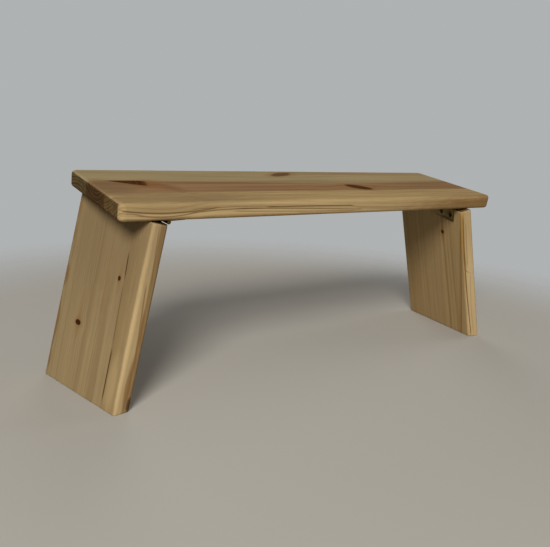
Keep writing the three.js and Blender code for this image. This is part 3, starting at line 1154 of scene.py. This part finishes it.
def tarnish(position, cloudSize):
    spot = position / cloudSize
    cloud = spot.noiseAt((1, 1, 1), 3).ramp(*metal["cloudRange"])
    stain = spot.noiseAt((2.3, 2.3, 2.3), 4, 0.6).ramp(*metal["stainRange"])
    scratch = position.noiseAt(metal["scratchScale"]) * metal["scratchShare"]
    speckle = position.noiseAt((3500, 3500, 3500), 1) * (1 - metal["scratchShare"])
    return cloud, stain, scratch + speckle


tarnishGroup = makeGroup(
    "tarnish", {"Position": zero, "Cloud Size": 0.008}, ("Cloud", "Stain", "Scratches"), tarnish)


def metalMaterial(name, look):
    material, tree, shader, _ = newMaterial(name)
    surface = shader.inputs
    spot = wiresOf(tree, "TexCoord")["Object"]
    marks = useGroup(tree, tarnishGroup, {"Position": spot, "Cloud Size": look["cloudSize"] * mm})
    colour = mixColour(tree, marks["Cloud"], look["main"], look["tint"])
    colour = mixColour(tree, marks["Stain"] * metal["stainShare"], colour, look["stain"])
    feed(tree, surface["Base Color"], colour)
    surface["Metallic"].default_value = 1.0
    rough = marks["Scratches"].swing(metal["scratchRoughness"]) + look["roughness"]
    feed(tree, surface["Roughness"], rough + marks["Stain"] * metal["stainRoughness"])
    addRelief(tree, surface, marks["Scratches"], metal["reliefStrength"], metal["reliefDepth"])
    return material


plateMaterial = metalMaterial("yellowPlatedSteel", metal["plate"])
blackMaterial = metalMaterial("blackenedSteel", metal["black"])
leafMeshes = {"seat": leafMesh("seatLeaf", True), "leg": leafMesh("legLeaf", False)}
roundPin = pinMesh()
crossScrew = screwMesh()
for shared in (*leafMeshes.values(), roundPin):
    shared.materials.append(plateMaterial)
crossScrew.materials.append(blackMaterial)


def addHinge(side, where, index):
    node = f"{side}_{where}_hinge"
    stem = f"{side}{where.capitalize()}Hinge"
    splay, _ = legAngles(side)
    low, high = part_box(f"{node}_pin")
    turns = {
        "seat": Matrix.Rotation(pi, 4, "Z"),
        "leg": Matrix.Rotation(-splay, 4, "Y") @ Matrix.Rotation(pi / 2, 4, "Y"),
    }
    hingeHere = hingePlace(side)
    hingeHere.translation = (low + high) / 2
    for board, turn in turns.items():
        body = "seat" if board == "seat" else f"{side}_leg"
        place = hingeHere @ turn
        name = f"{stem}{board.capitalize()}"
        addPart(f"{name}Leaf", leafMeshes[board], place, body, f"{node}_{board}_leaf")
        for i, spot in enumerate(screwSpots()):
            turned = screw["nextTurn"] * (screw["perLeaf"] * index + i) + screw["firstTurn"]
            twist = Matrix.Rotation(radians(turned), 4, "Z")
            screwPlace = place @ Matrix.Translation(spot * mm) @ twist
            screwNode = f"{node}_{board}_screw_{i + 1}"
            addPart(f"{name}Screw{i + 1}", crossScrew, screwPlace, body, screwNode)
        index += 1
    addPart(f"{stem}Pin", roundPin, hingeHere, "seat", f"{node}_pin")
    return index


hingeIndex = 0
for side in ("left", "right"):
    for where in ("front", "back"):
        hingeIndex = addHinge(side, where, hingeIndex)
print("hinges made")


# Camera at the photograph's place

camera = {
    "at": (-0.50109, -0.62139, 0.28410),
    "yaw": 36.43,
    "pitch": -13.04,
    "roll": 3.49,
    "focal": 640.8,  # in pixels of a frame 550 wide
    "frameWidth": 550,
    "sensor": 36,
    "clipStart": 0.01,
}


def addCamera():
    data = bpy.data.cameras.new("camera")
    data.sensor_width = camera["sensor"]
    data.lens = camera["focal"] / camera["frameWidth"] * camera["sensor"]
    data.clip_start = camera["clipStart"]
    eye = newObject("camera", data)
    yaw, pitch, roll = (radians(camera[k]) for k in ("yaw", "pitch", "roll"))
    ahead = Vector((sin(yaw) * cos(pitch), cos(yaw) * cos(pitch), sin(pitch)))
    level = Vector((cos(yaw), -sin(yaw), 0))
    rise = level.cross(ahead)
    right = cos(roll) * level + sin(roll) * rise
    up = -sin(roll) * level + cos(roll) * rise
    eye.matrix_world = placeOf(right, up, -ahead, Vector(camera["at"]))
    bpy.context.scene.camera = eye


addCamera()

# Floor and light

studio = {
    "floor": (0.46, 0.445, 0.41),
    "floorRoughness": 0.9,
    "floorSpecular": 0.2,
    "backdrop": (0.43, 0.445, 0.45),
    "ambient": (0.90, 0.90, 0.90),
    "ambientStrength": 0.08,
    "floorRadius": 7,
    "floorSides": 96,
    "fadeFrom": 0.4,
    "fadeTo": 0.85,
    "lamps": {  # direction, distance, size, watts and colour
        "window": ((-0.59, -0.59, 0.55), 3.4, 1.3, 106, (1, 0.96, 0.90)),
        "front": ((-0.40, -0.91, 0.10), 2.4, 1.3, 7.5, (1, 0.96, 0.90)),
        "behind": ((0.40, 0.86, 0.32), 2.4, 1.4, 14, (1, 0.97, 0.93)),
        "right": ((0.97, -0.05, 0.30), 2.4, 1.4, 13, (1, 0.97, 0.93)),
    },
}


def addFloor():
    body = bmesh.new()
    bmesh.ops.create_circle(body, cap_ends=True, segments=studio["floorSides"], radius=studio["floorRadius"])
    floor = newObject("floor", meshOf("floor", body))
    material, tree, shader, output = newMaterial("floorPaper")
    feed(tree, shader.inputs["Base Color"], studio["floor"])
    shader.inputs["Roughness"].default_value = studio["floorRoughness"]
    shader.inputs["Specular IOR Level"].default_value = studio["floorSpecular"]
    away = wiresOf(tree, "TexCoord")["Object"].calc("LENGTH")
    behind = wiresOf(tree, "NewGeometry")["Backfacing"]
    share = away.ramp(studio["fadeFrom"], studio["fadeTo"]).calc("MAXIMUM", behind)
    paper, clear = Wire(tree, shader.outputs[0]), wireFrom(tree, "BsdfTransparent")
    feed(tree, output.inputs["Surface"], wireFrom(tree, "MixShader", (share, paper, clear)))
    floor.data.materials.append(material)


def addWorld():
    world = bpy.data.worlds.new("studio")
    world.use_nodes = True
    tree = world.node_tree
    tree.nodes.clear()
    rays = wiresOf(tree, "LightPath")
    seen = rays["Is Camera Ray"].calc("MAXIMUM", rays["Is Glossy Ray"])
    seen = seen.calc("MAXIMUM", rays["Is Transmission Ray"])
    lit = wireFrom(tree, "Background", (studio["ambient"], studio["ambientStrength"]))
    shown = wireFrom(tree, "Background", [studio["backdrop"]])
    addNode(tree, "OutputWorld", {"Surface": wireFrom(tree, "MixShader", (seen, lit, shown))})
    bpy.context.scene.world = world


def addLamp(name, direction, distance, size, watts, colour):
    data = bpy.data.lights.new(name, "AREA")
    data.shape = "DISK"
    data.size = size
    data.energy = watts
    data.color = colour
    made = newObject(name, data)
    low, high = cadBox
    towards = Vector(direction).normalized()
    made.location = (low + high) / 2 + towards * distance
    made.rotation_mode = "QUATERNION"
    made.rotation_quaternion = towards.to_track_quat("Z", "Y")


addFloor()
addWorld()
for lampName, lamp in studio["lamps"].items():
    addLamp(lampName, *lamp)
bpy.context.scene.view_settings.view_transform = "Standard"
print("studio made")
